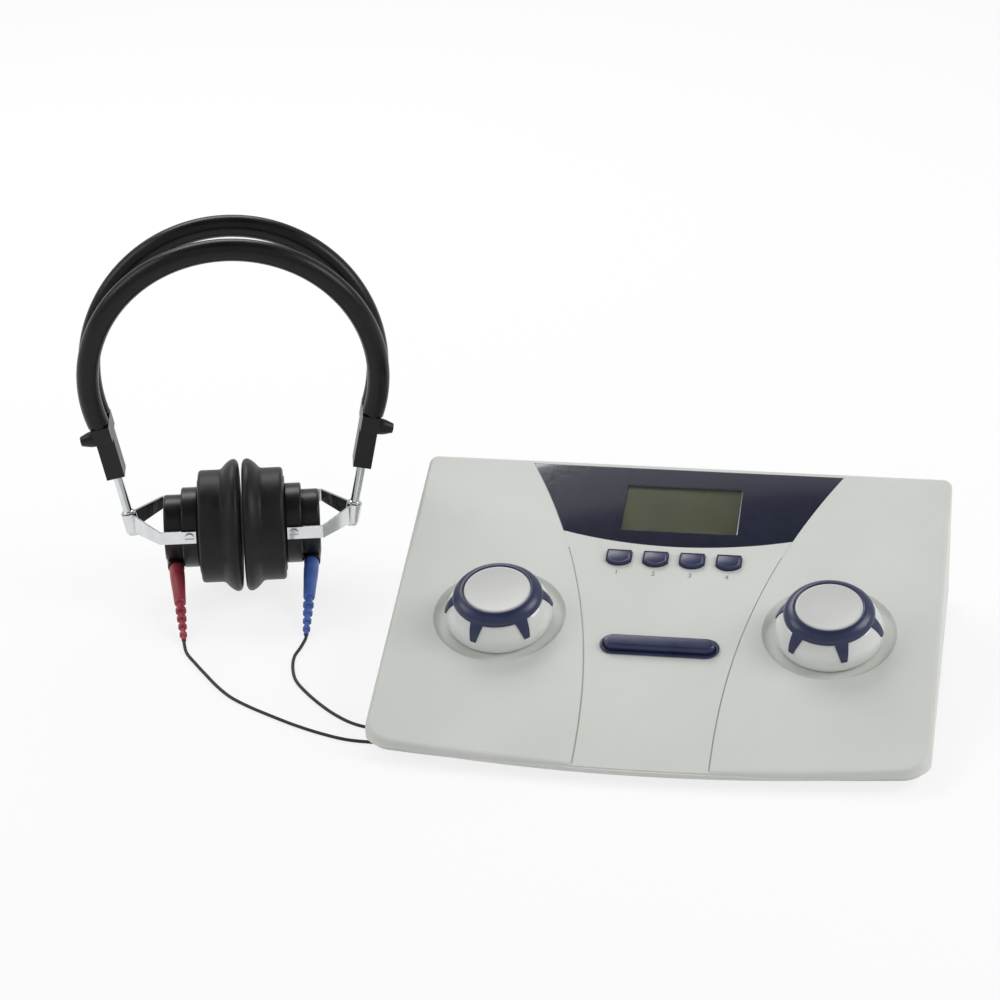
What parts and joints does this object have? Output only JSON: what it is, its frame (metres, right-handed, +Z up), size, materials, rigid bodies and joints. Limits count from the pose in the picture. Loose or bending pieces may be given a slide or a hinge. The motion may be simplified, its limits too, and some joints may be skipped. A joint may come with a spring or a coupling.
{
  "type": "audiometer",
  "caption": "Desk audiometer: sloping console with display, keys, two knobs and a tone bar, and a twin-band headset on thin leads.",
  "frame": {"origin": "centre, on the desk, of the floor area that the console and the headset cover together", "axes": "+X to the console's right as its user sees it, +Y from the user towards the rear panel, +Z up"},
  "size_m": [0.4728, 0.3151, 0.2114],
  "materials": {
    "housing": "fine texture",
    "black_plastic": "satin",
    "black_rubber": "matte",
    "steel": "plain",
    "window": "smoked, clear over the display",
    "lcd": "matte polariser",
    "board": "solder mask",
    "navy_plastic": "satin",
    "band_padding": "soft, slightly shiny",
    "lead_sheath": "satin",
    "white_plastic": "satin",
    "cap_plastic": "fine texture",
    "chrome": "polished",
    "driver_metal": "plain",
    "red_rubber": "satin",
    "blue_rubber": "satin"
  },
  "bodies": {
    "console": {"top_shell": "housing", "base_shell": "housing", "rear_panel": "black_plastic", "feet": "black_rubber", "housing_screws": "steel", "display_window": "window", "lcd_cell": "lcd", "panel_board": "board", "main_board": "board", "board_screws": "steel", "key_switches": "black_plastic", "tone_bezel": "navy_plastic", "tone_switches": "black_plastic", "encoders": "steel", "headset_socket": "steel", "response_socket": "steel", "power_inlet": "black_plastic", "rocker_housing": "black_plastic", "front_band": "band_padding", "rear_band": "band_padding", "band_wires": "steel", "end_blocks": "black_plastic", "red_lead": "lead_sheath", "blue_lead": "lead_sheath", "lead_splitter": "lead_sheath", "trunk_cord": "lead_sheath", "trunk_coil": "lead_sheath", "jack_plug": "black_plastic"},
    "key_1": {"key_1": "navy_plastic"},
    "key_2": {"key_2": "navy_plastic"},
    "key_3": {"key_3": "navy_plastic"},
    "key_4": {"key_4": "navy_plastic"},
    "tone_bar": {"tone_bar": "navy_plastic"},
    "left_knob": {"left_knob": "white_plastic", "left_ring": "navy_plastic", "left_cap": "cap_plastic", "left_shaft": "steel"},
    "right_knob": {"right_knob": "white_plastic", "right_ring": "navy_plastic", "right_cap": "cap_plastic", "right_shaft": "steel"},
    "power_rocker": {"power_rocker": "black_plastic"},
    "left_thumb_screw": {"left_thumb_screw": "black_plastic"},
    "left_rod": {"left_rod": "chrome"},
    "left_yoke": {"left_yoke": "chrome"},
    "left_ear": {"left_case": "black_plastic", "left_back_cap": "black_plastic", "left_cushion": "black_rubber", "left_driver": "driver_metal", "left_pivots": "chrome", "red_boot": "red_rubber"},
    "right_thumb_screw": {"right_thumb_screw": "black_plastic"},
    "right_rod": {"right_rod": "chrome"},
    "right_yoke": {"right_yoke": "chrome"},
    "right_ear": {"right_case": "black_plastic", "right_back_cap": "black_plastic", "right_cushion": "black_rubber", "right_driver": "driver_metal", "right_pivots": "chrome", "blue_boot": "blue_rubber"}
  },
  "joints": [
    {"name": "key_1_press", "type": "slide", "parent": "console", "child": "key_1", "axis": [0, 0.279, -0.9603], "range_m": [0, 0.001], "stiffness_N_per_m": 600, "springref_m": -0.0006},
    {"name": "key_2_press", "type": "slide", "parent": "console", "child": "key_2", "axis": [0, 0.279, -0.9603], "range_m": [0, 0.001], "stiffness_N_per_m": 600, "springref_m": -0.0006},
    {"name": "key_3_press", "type": "slide", "parent": "console", "child": "key_3", "axis": [0, 0.279, -0.9603], "range_m": [0, 0.001], "stiffness_N_per_m": 600, "springref_m": -0.0006},
    {"name": "key_4_press", "type": "slide", "parent": "console", "child": "key_4", "axis": [0, 0.279, -0.9603], "range_m": [0, 0.001], "stiffness_N_per_m": 600, "springref_m": -0.0006},
    {"name": "tone_bar_press", "type": "slide", "parent": "console", "child": "tone_bar", "axis": [0, 0.279, -0.9603], "range_m": [0, 0.0015], "stiffness_N_per_m": 600, "springref_m": -0.001},
    {"name": "left_knob_turn", "type": "hinge", "parent": "console", "child": "left_knob", "pos_m": [0.00819, -0.01372, 0.03737], "axis": [0, -0.279, 0.9603], "continuous": true},
    {"name": "right_knob_turn", "type": "hinge", "parent": "console", "child": "right_knob", "pos_m": [0.17959, -0.01372, 0.03737], "axis": [0, -0.279, 0.9603], "continuous": true},
    {"name": "power_rocker_tilt", "type": "hinge", "parent": "console", "child": "power_rocker", "pos_m": [0.13389, 0.10253, 0.026], "axis": [1, 0, 0], "range_deg": [-18, 0]},
    {"name": "left_thumb_screw_turn", "type": "hinge", "parent": "console", "child": "left_thumb_screw", "pos_m": [-0.21998, 0.06304, 0.09344], "axis": [-0.9567, -0.2121, -0.1994], "range_deg": [-360, 360]},
    {"name": "left_rod_slide", "type": "slide", "parent": "console", "child": "left_rod", "axis": [-0.1946, -0.0432, 0.9799], "range_m": [0, 0.02], "deforming": ["red_lead"]},
    {"name": "left_yoke_swivel", "type": "hinge", "parent": "left_rod", "child": "left_yoke", "pos_m": [-0.20966, 0.06533, 0.0415], "axis": [-0.1946, -0.0432, 0.9799], "range_deg": [-8, 8], "deforming": ["left_cushion", "red_lead"]},
    {"name": "left_ear_tilt", "type": "hinge", "parent": "left_yoke", "child": "left_ear", "pos_m": [-0.17784, 0.07239, 0.0415], "axis": [-0.2164, 0.9763, 0], "range_deg": [-8, 8], "deforming": ["left_cushion", "red_lead"]},
    {"name": "right_thumb_screw_turn", "type": "hinge", "parent": "console", "child": "right_thumb_screw", "pos_m": [-0.08024, 0.09402, 0.09344], "axis": [0.9567, 0.2121, -0.1994], "range_deg": [-360, 360]},
    {"name": "right_rod_slide", "type": "slide", "parent": "console", "child": "right_rod", "axis": [0.1946, 0.0432, 0.9799], "range_m": [0, 0.02], "deforming": ["blue_lead"]},
    {"name": "right_yoke_swivel", "type": "hinge", "parent": "right_rod", "child": "right_yoke", "pos_m": [-0.09056, 0.09174, 0.0415], "axis": [0.1946, 0.0432, 0.9799], "range_deg": [-8, 8], "deforming": ["right_cushion", "blue_lead"]},
    {"name": "right_ear_tilt", "type": "hinge", "parent": "right_yoke", "child": "right_ear", "pos_m": [-0.12238, 0.08468, 0.0415], "axis": [-0.2164, 0.9763, 0], "range_deg": [-8, 8], "deforming": ["right_cushion", "blue_lead"]}
  ]
}
